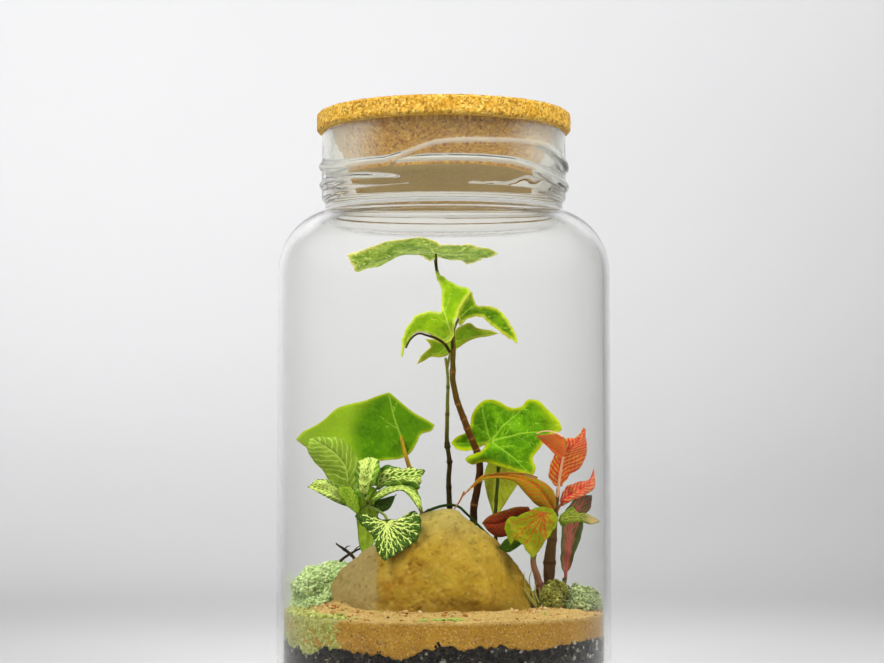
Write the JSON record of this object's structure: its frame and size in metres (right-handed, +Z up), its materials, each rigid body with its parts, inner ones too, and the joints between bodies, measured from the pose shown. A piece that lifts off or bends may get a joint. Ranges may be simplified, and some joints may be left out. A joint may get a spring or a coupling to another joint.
{
  "type": "glass plant terrarium",
  "caption": "Lidded glass jar planted as a closed terrarium: ivy, nerve plants and moss around a stone on layered sand and soil, under a cork lid.",
  "frame": {"origin": "centre of the jar's underside, on the surface it stands on", "axes": "+Z up along the jar's axis, -Y towards the front of the planting, +X to the right seen from the front"},
  "size_m": [0.17, 0.17, 0.3],
  "materials": {
    "glass": "clear, glossy",
    "cork": "granulated cork, matt",
    "gravel": "washed grit, matt",
    "soil": "crumbly, matt",
    "sand": "fine damp sand, matt",
    "stone": "weathered, matt",
    "moss_pale": "spongy, matt",
    "moss_olive": "spongy, matt",
    "twig": "dry bark, matt",
    "ivy_leaf": "waxy, satin",
    "ivy_stem": "young bark, satin",
    "white_vein_leaf": "satin",
    "red_vein_leaf": "satin",
    "herb_stem": "satin"
  },
  "bodies": {
    "root": {"cork_lid": "cork", "drainage_gravel": "gravel", "fittonia_red_leaf_back": "red_vein_leaf", "fittonia_red_leaf_dark": "red_vein_leaf", "fittonia_red_leaf_front": "red_vein_leaf", "fittonia_red_leaf_long": "red_vein_leaf", "fittonia_red_leaf_mid": "red_vein_leaf", "fittonia_red_leaf_side": "red_vein_leaf", "fittonia_red_leaf_top": "red_vein_leaf", "fittonia_red_leaf_under": "red_vein_leaf", "fittonia_red_leaf_upper": "red_vein_leaf", "fittonia_red_stem": "herb_stem", "fittonia_red_stem_back": "herb_stem", "fittonia_red_stem_front": "herb_stem", "fittonia_white_leaf_arch": "white_vein_leaf", "fittonia_white_leaf_back": "white_vein_leaf", "fittonia_white_leaf_bud": "white_vein_leaf", "fittonia_white_leaf_crown": "white_vein_leaf", "fittonia_white_leaf_front": "white_vein_leaf", "fittonia_white_leaf_low": "white_vein_leaf", "fittonia_white_leaf_outer": "white_vein_leaf", "fittonia_white_leaf_right": "white_vein_leaf", "fittonia_white_leaf_tall": "white_vein_leaf", "fittonia_white_petiole": "herb_stem", "fittonia_white_stem": "herb_stem", "glass_jar": "glass", "ivy_leaf_hanging": "ivy_leaf", "ivy_leaf_left": "ivy_leaf", "ivy_leaf_mid_left": "ivy_leaf", "ivy_leaf_mid_low": "ivy_leaf", "ivy_leaf_mid_right": "ivy_leaf", "ivy_leaf_right": "ivy_leaf", "ivy_leaf_top": "ivy_leaf", "ivy_petiole_left": "ivy_stem", "ivy_petiole_right": "ivy_stem", "ivy_runner": "ivy_stem", "ivy_stem_main": "ivy_stem", "ivy_stem_side": "ivy_stem", "moss_back": "moss_olive", "moss_left": "moss_pale", "moss_left_low": "moss_pale", "moss_right": "moss_pale", "potting_soil": "soil", "sand_layer": "sand", "stone": "stone", "twig_long": "twig", "twig_short": "twig"}
  },
  "joints": []
}
